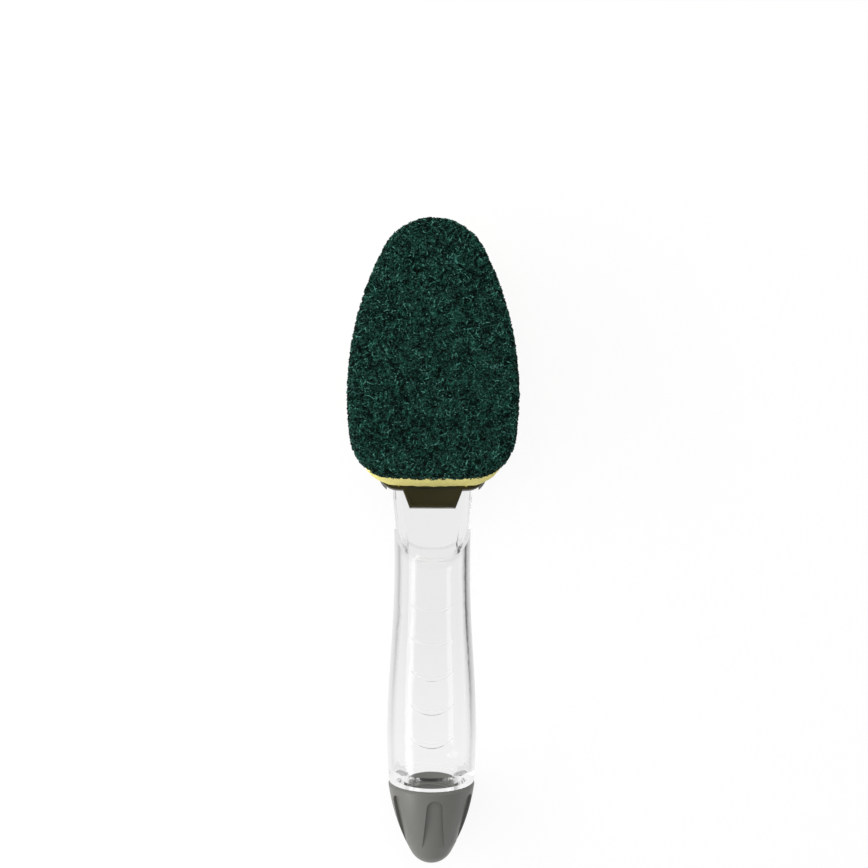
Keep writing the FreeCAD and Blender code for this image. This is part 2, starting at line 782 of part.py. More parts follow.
def base_outline(sketch, inset, shorten=0):
    """The base's outline, or one inside it whose tip stops short."""
    margin = size.base_inset + inset
    draw_teardrop(
        sketch,
        size.tongue_width + 2 * (size.base_margin - inset),
        size.head_length - size.base_inset + size.base_ledge - 2 * inset - shorten,
        size.head_widest + size.base_ledge - inset,
        size.head_tip_radius - margin,
        size.head_corner_radius - margin,
        size.head_end_radius - inset,
        inset - size.base_ledge,
    )


def make_refill_base():
    """Olive base: plate and skirt, rails for the tongue, soap window, dished thumb tab and flat foot."""
    body = new_body("BaseBody")
    half_tongue = size.tongue_width / 2
    outline = new_sketch(body, "XY_Plane", "BaseOutline")
    base_outline(outline, 0)
    add_feature(body, "Pad", "BaseBlock", outline, Length=size.base_thickness)
    hollow = new_sketch(body, "XY_Plane", "BaseHollow")
    base_outline(hollow, size.base_skirt, size.tip_block)
    add_feature(body, "Pocket", "BaseTray", hollow, Length=slot_top, Reversed=True)

    inner = half_tongue - size.rail_wall
    outer = half_tongue + size.slide_gap
    doorway = new_sketch(body, "XZ_Plane", "Doorway", 2 * size.base_ledge)
    draw_polygon(
        doorway,
        [(-outer, -1), (outer, -1), (outer, slot_top), (-outer, slot_top)],
    )
    doorway_depth = 2 * size.base_ledge + size.head_corner_radius
    add_feature(body, "Pocket", "TongueDoorway", doorway, Length=doorway_depth)

    rails = new_sketch(body, "XZ_Plane", "RailSection", -size.rail_start)
    lip_top = tongue_bottom - size.slide_gap
    for side in (1, -1):
        draw_polygon(
            rails,
            [
                (side * inner, 0),
                (side * (outer + size.rail_wall), 0),
                (side * (outer + size.rail_wall), slot_top + size.base_plate / 2),
                (side * outer, slot_top + size.base_plate / 2),
                (side * outer, lip_top),
                (side * inner, lip_top),
            ],
        )
    stop = size.tongue_length + size.slide_gap
    rail_length = stop + size.rail_wall - size.rail_start
    add_feature(body, "Pad", "Rails", rails, Length=rail_length, Reversed=True)

    wall = new_sketch(body, "XY_Plane", "StopWall")
    draw_polygon(
        wall,
        [(-outer, stop), (outer, stop), (outer, stop + size.rail_wall), (-outer, stop + size.rail_wall)],
    )
    add_feature(body, "Pad", "Stop", wall, Length=slot_top + size.base_plate / 2)

    window = new_sketch(body, "XY_Plane", "SoapWindow")
    draw_circle(window, size.window_radius, 0, size.valve_reach)
    add_feature(body, "Pocket", "Window", window, Length=2 * size.base_thickness, Midplane=True)

    tab = new_sketch(body, "XY_Plane", "TabOutline", slot_top)
    tab_end = -size.base_ledge - size.tab_length
    draw_polygon(
        tab,
        [
            (-size.tab_top / 2, size.base_ledge),
            (-size.tab_top / 2, -size.base_ledge),
            (-size.tab_bottom / 2, tab_end),
            (size.tab_bottom / 2, tab_end),
            (size.tab_top / 2, -size.base_ledge),
            (size.tab_top / 2, size.base_ledge),
        ],
    )
    add_feature(body, "Pad", "ThumbTab", tab, Length=size.base_plate)

    dish_middle = -size.base_ledge - size.tab_length / 2
    dish_height = size.base_thickness + size.tab_dish_radius - size.tab_dish_depth
    dish_place = Placement(Vector(0, dish_middle.value, dish_height.value), Rotation())
    ball = new_solid("Sphere", "DishBall", dish_place, Radius=size.tab_dish_radius)
    dish = shared("TabDish", ball, new_dish_block(tab_end))
    return cut("RefillBase", cut("DishedBase", body, dish), new_table())


def new_dish_block(tab_end):
    """The room inside the raised frame of the thumb tab."""
    body = new_body("DishBlock")
    inside = new_sketch(body, "XY_Plane", "DishOutline", slot_top)
    draw_polygon(
        inside,
        [
            (-size.tab_top / 2 + size.tab_frame, 0),
            (-size.tab_top / 2 + size.tab_frame, -size.base_ledge),
            (-size.tab_bottom / 2 + size.tab_frame, tab_end + size.tab_frame),
            (size.tab_bottom / 2 - size.tab_frame, tab_end + size.tab_frame),
            (size.tab_top / 2 - size.tab_frame, -size.base_ledge),
            (size.tab_top / 2 - size.tab_frame, 0),
        ],
    )
    add_feature(body, "Pad", "DishRoom", inside, Length=2 * size.base_plate)
    return body


def foot_heel():
    """Where the base's foot begins, in the handle frame."""
    tip = size.head_length - size.base_inset
    return HEAD_FRAME.multVec(Vector(0, (tip - size.foot_length).value, 0))


def rest_pitch():
    """How far the wand turns to lie on its foot and on the cap's rim or the handle's belly."""
    heel = foot_heel()
    touches = [
        (-size.cap_gap.value - size.cap_bevel.value, size.cap_rim_radius.value),
        (size.belly_reach.value, size.belly_radius.value),
    ]
    return min(math.degrees(math.atan2(-radius - heel.z, heel.y - y)) for y, radius in touches)


def new_table():
    """The table under the lying wand, in the head frame: it cuts the foot flat."""
    side = 3 * size.head_length
    level = Placement(foot_heel(), Rotation(Vector(1, 0, 0), -rest_pitch()))
    corner = Placement(Vector(-side.value / 2, -side.value / 2, -side.value), Rotation())
    place = HEAD_FRAME.inverse().multiply(level).multiply(corner)
    return new_solid("Box", "Table", place, Length=side, Width=side, Height=side)


def make_base_glue():
    """Glue film between the base and the sponge, open over the soap window."""
    body = new_body("BaseGlue")
    film = new_sketch(body, "XY_Plane", "BaseFilm", size.base_thickness)
    base_outline(film, size.base_ledge + size.glue_margin)
    add_feature(body, "Pad", "BaseFilmPad", film, Length=size.glue_thickness)
    window = new_sketch(body, "XY_Plane", "BaseFilmWindow", size.base_thickness)
    draw_circle(window, size.window_radius, 0, size.valve_reach)
    add_feature(body, "Pocket", "BaseFilmHole", window, Length=4 * size.glue_thickness, Midplane=True)
    return body


def make_head_layer(name, bottom, thickness, inset):
    """One flat layer of the head with the head's outline."""
    body = new_body(name)
    outline = new_sketch(body, "XY_Plane", f"{name}Outline", bottom)
    head_outline(outline, inset)
    add_feature(body, "Pad", f"{name}Slab", outline, Length=thickness)
    return body


def make_scouring_pad():
    """Scouring pad with a rounded working edge."""
    body = make_head_layer("ScouringPad", pad_bottom, size.pad_thickness, 0)
    slab = body.Tip
    face = (pad_bottom + size.pad_thickness).value
    rim = [
        f"Edge{index}"
        for index, edge in enumerate(slab.Shape.Edges, start=1)
        if edge.BoundBox.ZMin > face - 0.01
    ]
    rounding = body.newObject("PartDesign::Fillet", "PadRounding")
    rounding.Base = (slab, rim)
    bind(rounding, "Radius", size.pad_edge_radius)
    doc.recompute()
    return body


def make_end_cap():
    """Grey screw cap: bowed hollow shell with a round nose, inner thread, ledge for the seal and flutes."""
    body = new_body("EndCap")
    profile = new_sketch(body, "YZ_Plane", "CapProfile")
    draw_cap_profile(profile)
    add_turned(body, "Revolution", "CapShell", profile)

    ridge = new_sketch(body, "YZ_Plane", "CapRidge")
    middle = first_ridge + size.thread_pitch / 2
    draw_ridge(ridge, middle, bore_radius, bore_radius - size.thread_height, -ridge_sink)
    add_thread(body, "CapThread", ridge)

    return cut("FlutedCap", body, new_flutes())


def new_flutes():
    """The flutes' room round the cap: arched outlines over a cone that meets the flank where they run out."""
    start, flank_centre, nose_centre = cap_flank()
    top = -(size.cap_gap + size.flute_start).value
    bottom = top - size.flute_length.value

    def flank_radius(station):
        return flank_centre.y + math.sqrt(size.cap_side_radius.value**2 - (station - flank_centre.x) ** 2)

    wide = flank_radius(top) - size.flute_depth.value
    narrow = flank_radius(bottom)
    spare = size.flute_arch.value
    spread = (wide - narrow) / size.flute_length.value * spare
    floor = doc.addObject("Part::Cone", "FluteFloor")
    floor.Radius1 = narrow - spread
    floor.Radius2 = wide + spread
    floor.Height = size.flute_length.value + 2 * spare
    floor.Placement = Placement(Vector(0, bottom - spare, 0), ALONG_AXIS)
    outline = draw_flute()
    rooms = []
    for number in range(int(size.flute_count.value)):
        room = doc.addObject("Part::Extrusion", f"FluteRoom{number}")
        room.Base = outline
        room.DirMode = "Normal"
        room.Solid = True
        bind(room, "LengthFwd", 1.2 * size.cap_rim_radius)
        turn = size.flute_turn.value + 360 * number / size.flute_count.value
        room.Placement = Placement(Vector(), Rotation(Vector(0, 1, 0), turn))
        rooms.append(room)
    doc.recompute()
    return cut("Flutes", fused("FluteRooms", rooms), floor)


def draw_flute():
    """One flute seen square on: a round arch towards the rim and two legs that spread towards the nose."""
    sketch = doc.addObject("Sketcher::SketchObject", "FluteOutline")
    middle = -size.cap_gap - size.flute_start - size.flute_arch
    bottom = -size.cap_gap - size.flute_start - size.flute_length
    left = Vector(-size.flute_arch.value, middle.value, 0)
    right = Vector(size.flute_arch.value, middle.value, 0)
    arch = sketch.addGeometry(arc_between(Vector(0, middle.value, 0), right, left))
    half = size.flute_width / 2
    corners = [left, Vector(-half.value, bottom.value, 0), Vector(half.value, bottom.value, 0), right]
    for here, there in zip(corners, corners[1:]):
        sketch.addGeometry(Part.LineSegment(here, there))
    for edge in range(4):
        sketch.addConstraint(Sketcher.Constraint("Coincident", edge, 2, (edge + 1) % 4, 1))
    pin(sketch, arch, 1, size.flute_arch, middle)
    pin(sketch, arch, 2, -size.flute_arch, middle)
    pin_height(sketch, arch, 3, middle)
    pin(sketch, 2, 1, -half, bottom)
    pin(sketch, 2, 2, half, bottom)
    doc.recompute()
    return sketch


def cap_flank():
    """Where the cap's bowed flank starts at the rim, and the centres of the flank and of the round nose."""
    start = Vector(-(size.cap_gap + size.cap_bevel).value, size.cap_rim_radius.value, 0)
    nose_centre = Vector((size.cap_tip_radius - size.cap_length - size.cap_gap).value, 0, 0)
    flank_centre = circle_meeting(
        start,
        size.cap_side_radius.value,
        nose_centre,
        (size.cap_side_radius - size.cap_tip_radius).value,
    )
    return start, flank_centre, nose_centre


def draw_cap_profile(sketch):
    """Half of the cap cut along its axis, with the cap's nose towards -Y."""
    rim = -size.cap_gap
    nose = rim - size.cap_length
    start, flank_centre, nose_centre = cap_flank()
    joint = nose_centre + (nose_centre - flank_centre).normalize() * size.cap_tip_radius.value
    tip = Vector(nose.value, 0, 0)
    inside = [
        (nose + size.cap_tip_wall, 0),
        (nose + size.cap_tip_wall, size.cap_core_nose),
        (nose + size.cap_tip_wall + size.cap_core_radius, size.cap_core_radius),
        (ledge, size.cap_core_radius),
        (ledge, bore_radius),
        (rim, bore_radius),
        (rim, size.cap_rim_radius - size.cap_bevel),
    ]
    places = [tip] + [Vector(x.value, sized(y).value, 0) for x, y in inside] + [start]
    for here, there in zip(places, places[1:]):
        sketch.addGeometry(Part.LineSegment(here, there))
    flank = sketch.addGeometry(arc_between(flank_centre, start, joint))
    nose_arc = sketch.addGeometry(arc_between(nose_centre, joint, tip))
    for index in range(len(inside)):
        sketch.addConstraint(Sketcher.Constraint("Coincident", index, 2, index + 1, 1))
    for index, (x, y) in enumerate(inside, start=1):
        pin(sketch, index, 1, x, y)
    sketch.addConstraint(Sketcher.Constraint("Coincident", len(inside), 2, flank, 1))
    pin(sketch, flank, 1, rim - size.cap_bevel, size.cap_rim_radius)
    sketch.addConstraint(Sketcher.Constraint("Tangent", flank, 2, nose_arc, 1))
    sketch.addConstraint(Sketcher.Constraint("Coincident", nose_arc, 2, 0, 1))
    pin(sketch, nose_arc, 2, nose, 0)
    set_radius(sketch, flank, size.cap_side_radius)
    set_radius(sketch, nose_arc, size.cap_tip_radius)
    sketch.addConstraint(Sketcher.Constraint("PointOnObject", nose_arc, 3, -1))


def make_cap_gasket():
    """Ring seal between the spout's lip and the ledge in the cap."""
    body = new_body("CapGasket")
    ring = new_sketch(body, "XZ_Plane", "GasketRing", size.spout_length)
    draw_circle(ring, bore_radius - size.gasket_gap)
    draw_circle(ring, size.cap_core_radius)
    add_feature(body, "Pad", "GasketPad", ring, Length=size.gasket_thickness)
    return body


VALVE_PLACE = in_head(0, size.valve_reach.value, seat_floor.value)
RETAINER_PLACE = in_head(0, size.valve_reach.value, (seat_floor + size.valve_flange).value)
STANDING = Placement(Vector(), Rotation(Vector(1, 0, 0), 90))
AT_HANDLE = Placement()

# Each piece under its own name, with the frame that it was drawn in.
pieces = {
    "handle_bottle": (make_handle_bottle(), AT_HANDLE),
    "mount_neck": (make_mount_neck(), AT_HANDLE),
    "dispensing_valve": (make_dispensing_valve(), VALVE_PLACE.multiply(STANDING)),
    "valve_retainer": (make_valve_retainer(), RETAINER_PLACE),
    "refill_base": (make_refill_base(), HEAD_FRAME),
    "base_glue": (make_base_glue(), HEAD_FRAME),
    "sponge": (make_head_layer("Sponge", sponge_bottom, size.sponge_thickness, 0), HEAD_FRAME),
    "pad_glue": (make_head_layer("PadGlue", sponge_top, size.glue_thickness, size.glue_margin), HEAD_FRAME),
    "scouring_pad": (make_scouring_pad(), HEAD_FRAME),
    "end_cap": (make_end_cap(), AT_HANDLE),
    "cap_gasket": (make_cap_gasket(), AT_HANDLE),
}


def place_pieces(common):
    """Gives every piece its place, with one placement common to all of them."""
    for piece, frame in pieces.values():
        piece.Placement = common.multiply(frame)
    doc.recompute()


# The wand is turned to lie on the table, and its underside's middle becomes the origin.
lying = turned_about_x(rest_pitch())
place_pieces(lying)
box = FreeCAD.BoundBox()
for piece, frame in pieces.values():
    box.add(piece.Shape.optimalBoundingBox(False))
shift = Placement(Vector(0, -box.Center.y, -box.ZMin), Rotation())
place_pieces(shift.multiply(lying))

failed = [item.Name for item in doc.Objects if "Invalid" in item.State or "Error" in item.State]
for name, (piece, frame) in pieces.items():
    piece.Label = name
    if piece.Shape.isNull() or not piece.Shape.isValid() or len(piece.Shape.Solids) != 1:
        failed.append(name)
if failed:
    raise RuntimeError(f"these objects failed: {failed}")

os.makedirs("parts", exist_ok=True)
for name, (piece, frame) in pieces.items():
    piece.Shape.exportStep(f"parts/{name}.step")
    print(f"{name}: {piece.Shape.Volume:.1f} mm3")
print(f"overall {box.XLength:.2f} x {box.YLength:.2f} x {box.ZLength:.2f} mm")
print(f"turned by {rest_pitch():.3f} degrees to lie on the table")
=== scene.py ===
"""Dresses the dish wand: clear handle and neck, screw cap, and a refill head of sponge and scouring pad."""

import json
import math
import random

import bpy
from bpy.props import FloatProperty, FloatVectorProperty, IntProperty, PointerProperty
from mathutils import Matrix, Vector
from mathutils.bvhtree import BVHTree


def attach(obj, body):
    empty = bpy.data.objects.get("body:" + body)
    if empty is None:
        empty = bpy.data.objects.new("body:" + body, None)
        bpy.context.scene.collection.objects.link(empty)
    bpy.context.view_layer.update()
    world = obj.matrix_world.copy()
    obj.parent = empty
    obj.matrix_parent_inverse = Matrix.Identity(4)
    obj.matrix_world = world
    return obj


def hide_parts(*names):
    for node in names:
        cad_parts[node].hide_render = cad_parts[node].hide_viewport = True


bl_info = {
    "name": "Dish Wand",
    "version": (1, 0, 0),
    "blender": (4, 5, 0),
    "location": "View3D > Sidebar > Dish Wand",
    "description": "Dresses a soap-filled dish wand and sets its studio",
    "category": "Object",
}

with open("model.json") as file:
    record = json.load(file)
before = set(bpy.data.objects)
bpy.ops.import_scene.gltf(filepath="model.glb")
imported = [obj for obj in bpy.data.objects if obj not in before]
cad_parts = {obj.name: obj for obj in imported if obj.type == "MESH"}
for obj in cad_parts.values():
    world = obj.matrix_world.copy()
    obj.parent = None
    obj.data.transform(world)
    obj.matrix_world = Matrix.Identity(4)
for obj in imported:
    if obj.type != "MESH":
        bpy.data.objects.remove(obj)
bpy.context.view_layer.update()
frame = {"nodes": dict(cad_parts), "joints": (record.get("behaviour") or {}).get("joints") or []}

# The head slides off along its own length, and the pad faces square to that.
HEAD_SLIDE = next(joint for joint in frame["joints"] if joint["name"] == "head_slide")
HEAD_LENGTHWISE = Vector(HEAD_SLIDE["axis"]).normalized()
PAD_FACING = Vector((0.0, -HEAD_LENGTHWISE.z, HEAD_LENGTHWISE.y))

# The lamps: where each hangs, the point that it faces, and its size.
KEY_LAMP = {"place": (-0.45, -0.02, 0.24), "aim": (0.0, -0.02, 0.02), "width": 0.9, "height": 0.17}
TOP_LAMP = {"place": (0.0, 0.65, 1.0), "aim": (0.0, 0.0, 0.0), "width": 1.0, "height": 1.0}

# The camera hangs over a point beside the neck and is turned a little, as the photo is framed.
CAMERA_OVER = (0.00043, 0.0426)
CAMERA_TURN = math.radians(0.25)
SENSOR_WIDTH = 36.0
NEAREST_SEEN = 0.01

# The studio's walls pass into its ceiling between these heights on the unit sphere.
CEILING_EDGE = (0.3, 0.8)

# Painted shade on the floor that only the plastic sees, in metres: its soft edges beside the wand, where it
# ends further out, and where it fades along the wand towards the cap, to these levels.
LEFT_PAINTED_SHADE_EDGE = (-0.045, -0.018)
RIGHT_PAINTED_SHADE_EDGE = (0.016, 0.036)
PAINTED_SHADE_END = (0.055, 0.07)
PAINTED_SHADE_FADE = (-0.085, -0.035)
LEFT_SHADE_FADED = 0.8
RIGHT_SHADE_FADED = 0.75

# A ray that has met more surfaces than this sees a painted glow in the clear walls, and is traced no further.
PAINTED_GLOW_AFTER = 5.5

# The scouring web: grit cover and brightness of the core, and of each tone of fibre.
CORE_TONE = ("scouring_web_core", 0.5, 0.8)
FIBRE_TONES = (
    ("scouring_web_dark", 0.1, 0.25),
    ("scouring_web_middling", 0.4, 1.5),
    ("scouring_web_pale", 0.8, 2.35),
)
# Fibres take the resin unevenly: of six, two are dark, three are middling and one is pale.
TONE_DRAW = (0, 0, 1, 1, 1, 2)
# A fibre has so many bends. Its length and thickness vary by these shares, and it lies so many
# thicknesses over the core.
FIBRE_STEPS = 3
LENGTH_SHARES = (0.5, 1.4)
LIFT_SHARES = (-0.8, 2.6)
THICKNESS_SHARES = (0.75, 1.2)
# Spread of the turn at each bend, in radians: a curl of the whole fibre, and a kink at the bend.
CURL = 0.5
KINK = 0.35
# Slope of the core to the pad's facing: the face lies above the first value, the sides down to the second.
FACE_SLOPE = 0.6
SIDE_SLOPE = -0.4
FACE_SEED = 11
SIDE_SEED = 12

# Sockets of a colour mix.
MIX_FIRST, MIX_SECOND, MIX_RESULT = 6, 7, 2


def linear(code):
    """The linear RGB values of an sRGB hex colour."""
    values = [int(code[start:start + 2], 16) / 255 for start in (1, 3, 5)]
    return [v / 12.92 if v <= 0.04045 else ((v + 0.055) / 1.055) ** 2.4 for v in values]


def colour(name, description, code):
    """A colour property whose default is an sRGB hex colour."""
    return FloatVectorProperty(
        name=name, description=description, default=linear(code), min=0.0, max=1.0, size=3, subtype="COLOR")


class StageSettings(bpy.types.PropertyGroup):
    """Floor, lamps, surroundings and camera."""

    floor_radius: FloatProperty(
        name="Floor Radius", description="Reach of the floor round the wand", default=4.0, min=0.5,
        unit="LENGTH")
    floor_colour: colour("Floor", "Paint of the floor", "#F7F7F7")
    floor_glow: FloatProperty(
        name="Floor Glow", description="Share of the floor that shows plain white, without shade",
        default=0.88, min=0.0, max=1.0, subtype="FACTOR")
    floor_glow_through: FloatProperty(
        name="Floor Glow Through", description="Brightness of the floor where it shows through the plastic",
        default=0.86, min=0.0, max=1.0, subtype="FACTOR")
    # Painted shade: these set grey strips on the floor that only the plastic sees, which paint dark
    # reflections into the clear edges.
    left_painted_shade: FloatProperty(
        name="Left Card", description="Brightness of the card on the left, which darkens the clear edges",
        default=0.45, min=0.0, max=1.0, subtype="FACTOR")
    right_painted_shade: FloatProperty(
        name="Right Card", description="Brightness of the card on the right, which darkens the clear edges",
        default=0.1, min=0.0, max=1.0, subtype="FACTOR")
    walls: FloatProperty(
        name="Walls", description="Brightness of the studio's walls", default=0.9, min=0.0, max=2.0)
    ceiling: FloatProperty(
        name="Ceiling", description="Brightness of the studio's ceiling", default=0.75, min=0.0, max=2.0)
    right_share: FloatProperty(
        name="Right Wall", description="Share of the left wall's brightness that the right wall has",
        default=0.65, min=0.0, max=1.0, subtype="FACTOR")
    key_power: FloatProperty(
        name="Key Lamp", description="Power of the long soft lamp on the left", default=2.3, min=0.0,
        unit="POWER")
    top_power: FloatProperty(
        name="Top Lamp", description="Power of the soft lamp overhead", default=5.0, min=0.0, unit="POWER")
    camera_height: FloatProperty(
        name="Camera Height", description="Height of the camera over the floor", default=0.58, min=0.3,
        unit="LENGTH")
    camera_lens: FloatProperty(
        name="Lens", description="Focal length of the camera", default=59.7, min=20.0, unit="CAMERA")


class PlasticSettings(bpy.types.PropertyGroup):
    """Moulded pieces and glue."""

    clear_tint: colour("Clear Plastic", "Tint that the clear plastic gives at each surface", "#FDFDFD")
    # Painted light: the clear walls glow with this brightness wherever a ray has gone deep into them.
    clear_painted_glow: FloatProperty(
        name="Clear Glow", description="Brightness of light trapped in the clear walls, where it leaves them",
        default=0.8, min=0.0, max=1.0)
    # Styrene's own IOR of 1.57 darkens the rims and shows the dark head all through the neck. The photo's
    # plastic is paler than that, so both values are lower.
    handle_ior: FloatProperty(
        name="Handle IOR", description="How strongly the handle bends light", default=1.28, min=1.0, max=2.0)
    neck_ior: FloatProperty(
        name="Neck IOR", description="How strongly the neck bends light", default=1.07, min=1.0, max=2.0)
    cap_colour: colour("Cap", "Grey of the screw cap", "#666662")
    base_colour: colour("Base", "Dark olive of the refill's base", "#2B270F")
    retainer_colour: colour("Valve Retainer", "White of the ring that holds the valve", "#EFEEEA")
    silicone_tint: colour("Valve", "Tint of the silicone slit valve", "#EDEFEC")
    # Partly painted light: the seal's grey is set pale, which lightens the shaded hollow of the cap seen
    # through the spout.
    gasket_grey_and_painted_light: colour("Gasket", "Grey of the rubber seal in the cap", "#A4A5A4")
    glue_colour: colour("Glue", "Set hot-melt glue in the head", "#DCD2A6")


class HeadSettings(bpy.types.PropertyGroup):
    """Sponge and scouring pad."""

    sponge_colour: colour("Sponge", "Yellow of the sponge", "#F0E796")
    # Painted shade: the darker yellow that the sponge's hollows and pores are painted with.
    sponge_painted_shade: colour("Sponge Pores", "Yellow deep in the sponge's pores", "#BDB15C")
    sponge_grain: FloatProperty(
        name="Sponge Grain", description="Size of the faces that the sponge's skin is made of",
        default=0.00045, min=0.0002, precision=5, unit="LENGTH")
    sponge_share: FloatProperty(
        name="Sponge Share", description="Width of the cut sponge as a share of its nominal width",
        default=0.92, min=0.8, max=1.0, subtype="FACTOR")
    swell_spacing: FloatProperty(
        name="Swell Spacing", description="Distance between the sponge's broad swellings", default=0.006,
        min=0.001, precision=4, unit="LENGTH")
    swell_depth: FloatProperty(
        name="Swell Depth", description="Depth between the sponge's broad swellings", default=0.0002,
        min=0.0, precision=4, unit="LENGTH")
    pore_spacing: FloatProperty(
        name="Pore Spacing", description="Distance between the sponge's large pores", default=0.0034,
        min=0.0005, precision=4, unit="LENGTH")
    pore_depth: FloatProperty(
        name="Pore Depth", description="Depth of the sponge's large pores", default=0.0004, min=0.0,
        precision=4, unit="LENGTH")
    pad_colour: colour("Pad Fibres", "Dark green of the scouring fibres", "#10382D")
    pad_light: colour("Pad Grit", "Paler green of the grit bonded to the fibres", "#46746A")
    # Painted shade: the near-black green painted between the tufts of the pad, for the shade there.
    pad_painted_shade: colour("Pad Depth", "Green between the fibres", "#04120D")
    pad_grain: FloatProperty(
        name="Pad Grain", description="Size of the faces that the pad's core is made of", default=0.00045,
        min=0.0002, precision=5, unit="LENGTH")
    pad_share: FloatProperty(
        name="Pad Share", description="Width of the pad's core as a share of the pad's nominal width",
        default=0.965, min=0.8, max=1.0, subtype="FACTOR")
    tuft_spacing: FloatProperty(
        name="Tuft Spacing", description="Distance between the tufts of the pad's core", default=0.0016,
        min=0.0005, precision=4, unit="LENGTH")
    tuft_depth: FloatProperty(
        name="Tuft Depth", description="Depth between the tufts of the pad's core", default=0.0006, min=0.0,
        precision=4, unit="LENGTH")
    fibre_thickness: FloatProperty(
        name="Fibre Thickness", description="Thickness of one scouring fibre", default=0.00036, min=0.00005,
        precision=5, unit="LENGTH")
    fibre_length: FloatProperty(
        name="Fibre Length", description="Length of a fibre that shows at the surface", default=0.0034,
        min=0.001, precision=4, unit="LENGTH")
    face_fibres: IntProperty(
        name="Face Fibres", description="Number of fibres on the pad's face", default=7600, min=0)
    side_fibres: IntProperty(
        name="Side Fibres", description="Number of fibres round the pad's sides", default=3400, min=0)


def add_node(tree, kind, inputs=None, **settings):
    """Adds a node, sets its properties, and fills or links its inputs."""
    node = tree.nodes.new(kind)
    for name, value in settings.items():
        setattr(node, name, value)
    for name, value in (inputs or {}).items():
        if isinstance(value, bpy.types.NodeSocket):
            tree.links.new(value, node.inputs[name])
        else:
            node.inputs[name].default_value = value
    return node


def opaque(values):
    """A colour with full alpha."""
    return (*values, 1.0)


def noise(tree, place, scale, detail):
    """Soft noise, with so many features to the metre."""
    return add_node(
        tree, "ShaderNodeTexNoise", {"Vector": place, "Scale": scale, "Detail": detail}).outputs["Fac"]


def map_range(tree, value, source=(0.0, 1.0), target=(0.0, 1.0)):
    """A value moved from one range to another, and held within it."""
    return add_node(tree, "ShaderNodeMapRange", {
        "Value": value, "From Min": source[0], "From Max": source[1], "To Min": target[0],
        "To Max": target[1]}).outputs["Result"]


def reckon(tree, operation, *values):
    """The result of a sum on numbers and sockets."""
    return add_node(tree, "ShaderNodeMath", dict(enumerate(values)), operation=operation).outputs["Value"]


def mix_colours(tree, factor, first, second):
    """A colour between two others."""
    inputs = {"Factor": factor, MIX_FIRST: first, MIX_SECOND: second}
    return add_node(tree, "ShaderNodeMix", inputs, data_type="RGBA").outputs[MIX_RESULT]


def mix_shaders(tree, factor, first, second):
    """A shader between two others."""
    return add_node(tree, "ShaderNodeMixShader", {0: factor, 1: first, 2: second}).outputs["Shader"]


def bump(tree, height, strength, distance, **more):
    """The direction of a surface that has small relief."""
    inputs = {"Height": height, "Strength": strength, "Distance": distance, **more}
    return add_node(tree, "ShaderNodeBump", inputs).outputs["Normal"]


def new_material(name):
    """An empty node material, its tree, and the place on the piece."""
    material = bpy.data.materials.new(name)
    material.use_nodes = True
    tree = material.node_tree
    tree.nodes.clear()
    return material, tree, add_node(tree, "ShaderNodeTexCoord").outputs["Object"]


def surface(material, shader):
    """Gives a material its surface shader, and returns the material."""
    add_node(material.node_tree, "ShaderNodeOutputMaterial", {"Surface": shader})
    return material


def clear_styrene(name, tint, glow, ior):
    """Clear styrene acrylonitrile, injection moulded: glassy and pale, with faint ripples from the mould."""
    material, tree, place = new_material(name)
    # Ripples about 14 mm apart bend what shows through the walls a little.
    ripple = bump(tree, noise(tree, place, scale=70.0, detail=1.0), strength=0.12, distance=0.0006)
    glass = add_node(tree, "ShaderNodeBsdfPrincipled", {
        "Base Color": opaque(tint), "Roughness": 0.025, "IOR": ior, "Transmission Weight": 1.0,
        "Normal": ripple})
    # Painted glow: a ray that has gone to and fro in the walls meets plain emission, so rims and edges glow.
    path = add_node(tree, "ShaderNodeLightPath").outputs
    trapped = reckon(tree, "GREATER_THAN", path["Ray Depth"], PAINTED_GLOW_AFTER)
    edge = add_node(tree, "ShaderNodeEmission", {"Color": opaque(tint), "Strength": glow})
    walls = mix_shaders(tree, trapped, glass.outputs["BSDF"], edge.outputs["Emission"])
    # Lamps shine through the walls, so the floor under the handle stays light.
    through = add_node(tree, "ShaderNodeBsdfTransparent", {"Color": opaque(tint)})
    return surface(material, mix_shaders(tree, path["Is Shadow Ray"], walls, through.outputs["BSDF"]))


def moulded_plastic(name, shade, roughness, ior, grain, mottle, shine=0.5):
    """Opaque plastic or rubber from a spark-eroded mould: matt, finely grained, slightly uneven in colour."""
    material, tree, place = new_material(name)
    # Edges are rounded off by about 0.4 mm and catch the light.
    edge = add_node(tree, "ShaderNodeBevel", {"Radius": 0.0004}).outputs["Normal"]
    # The mould's grain is about 0.1 mm; it is drawn coarser than that, so that it shows.
    fine = noise(tree, place, 1.0 / grain, detail=3.0)
    relief = bump(tree, fine, strength=0.18, distance=grain * 0.25, Normal=edge)
    # Pigment settles unevenly over about 9 mm, and the polish varies with it.
    broad = noise(tree, place, scale=110.0, detail=2.0)
    dark = [v * (1.0 - mottle) for v in shade]
    light = [min(1.0, v * (1.0 + mottle)) for v in shade]
    plastic = add_node(tree, "ShaderNodeBsdfPrincipled", {
        "Base Color": mix_colours(tree, broad, opaque(dark), opaque(light)),
        "Roughness": map_range(tree, broad, target=(roughness - 0.05, roughness + 0.05)), "IOR": ior,
        "Specular IOR Level": shine, "Normal": relief})
    return surface(material, plastic.outputs["BSDF"])


def cast_silicone(tint):
    """Silicone rubber, moulded: milky clear and softly shining."""
    material, tree, place = new_material("cast_silicone")
    # Dust in the rubber clouds it over about 2 mm.
    cloud = noise(tree, place, scale=500.0, detail=2.0)
    rubber = add_node(tree, "ShaderNodeBsdfPrincipled", {
        "Base Color": opaque(tint), "Roughness": map_range(tree, cloud, target=(0.25, 0.4)), "IOR": 1.41,
        "Transmission Weight": 0.8})
    return surface(material, rubber.outputs["BSDF"])


